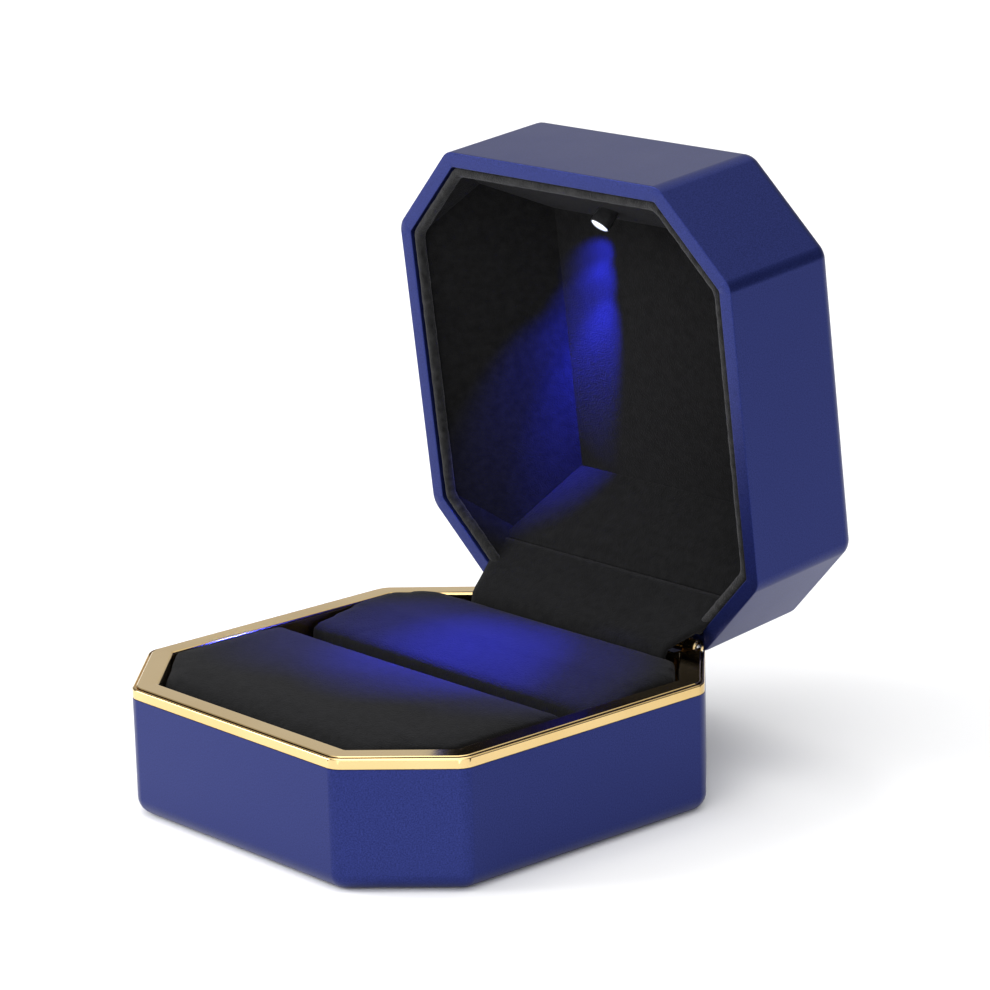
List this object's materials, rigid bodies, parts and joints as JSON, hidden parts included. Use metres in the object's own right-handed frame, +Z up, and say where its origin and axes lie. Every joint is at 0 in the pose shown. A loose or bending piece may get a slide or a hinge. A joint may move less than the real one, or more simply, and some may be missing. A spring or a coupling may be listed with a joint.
{
  "type": "ring box",
  "caption": "Octagonal lacquered jewellery box with a gilt rim, a velvet ring slot and a light in its hinged lid, standing open.",
  "frame": {"origin": "middle of the base's flat underside", "axes": "+Z up, -Y towards the front, +X to the right; the lid turns about a line along X at the back"},
  "size_m": [0.07, 0.0894, 0.0894],
  "materials": {
    "lacquer": "satin",
    "gold_plating": "polished",
    "velvet": "matte",
    "board": "matte",
    "gold_metal": "polished",
    "steel": "polished",
    "black_plastic": "satin",
    "white_plastic": "satin",
    "lamp_resin": "polished",
    "circuit_board": "satin",
    "red_wire": "satin",
    "black_wire": "satin"
  },
  "bodies": {
    "base": {"base_shell": "lacquer", "front_pad": "velvet", "hinge_pin_left": "steel", "hinge_pin_right": "steel", "hinge_spring_left": "steel", "hinge_spring_right": "steel", "lower_leaf_left": "gold_metal", "lower_leaf_right": "gold_metal", "lower_screw_left_1": "steel", "lower_screw_left_2": "steel", "lower_screw_right_1": "steel", "lower_screw_right_2": "steel", "pad_board": "board", "rear_pad": "velvet", "rim_frame": "gold_plating", "velvet_flap": "velvet"},
    "lid": {"ceiling_board": "velvet", "cell_contact_side": "gold_metal", "cell_contact_under": "gold_metal", "cell_holder": "black_plastic", "cell_to_lamp_lead": "red_wire", "cell_to_switch_lead": "red_wire", "coin_cell": "steel", "hinge_cover": "velvet", "led_board": "circuit_board", "led_holder": "black_plastic", "led_lamp": "lamp_resin", "led_resistor": "black_plastic", "lid_shell": "lacquer", "plunger_spring": "steel", "side_lining": "velvet", "switch_body": "black_plastic", "switch_to_lamp_lead": "black_wire", "upper_leaf_left": "gold_metal", "upper_leaf_right": "gold_metal", "upper_screw_left_1": "steel", "upper_screw_left_2": "steel", "upper_screw_right_1": "steel", "upper_screw_right_2": "steel"},
    "switch_plunger": {"switch_plunger": "white_plastic"}
  },
  "joints": [
    {"name": "lid_hinge", "type": "hinge", "parent": "base", "child": "lid", "pos_m": [0, 0.0339, 0.0189], "axis": [1, 0, 0], "range_deg": [0, 83.6], "deforming": ["hinge_spring_left", "hinge_spring_right", "velvet_flap"]},
    {"name": "switch_plunger_slide", "type": "slide", "parent": "lid", "child": "switch_plunger", "axis": [0, 0.9938, 0.1115], "range_m": [0, 0.001], "deforming": ["plunger_spring"]}
  ],
  "couplings": [
    {"joint": "switch_plunger_slide", "follows": "lid_hinge", "m_per_rad": 0.00066}
  ]
}
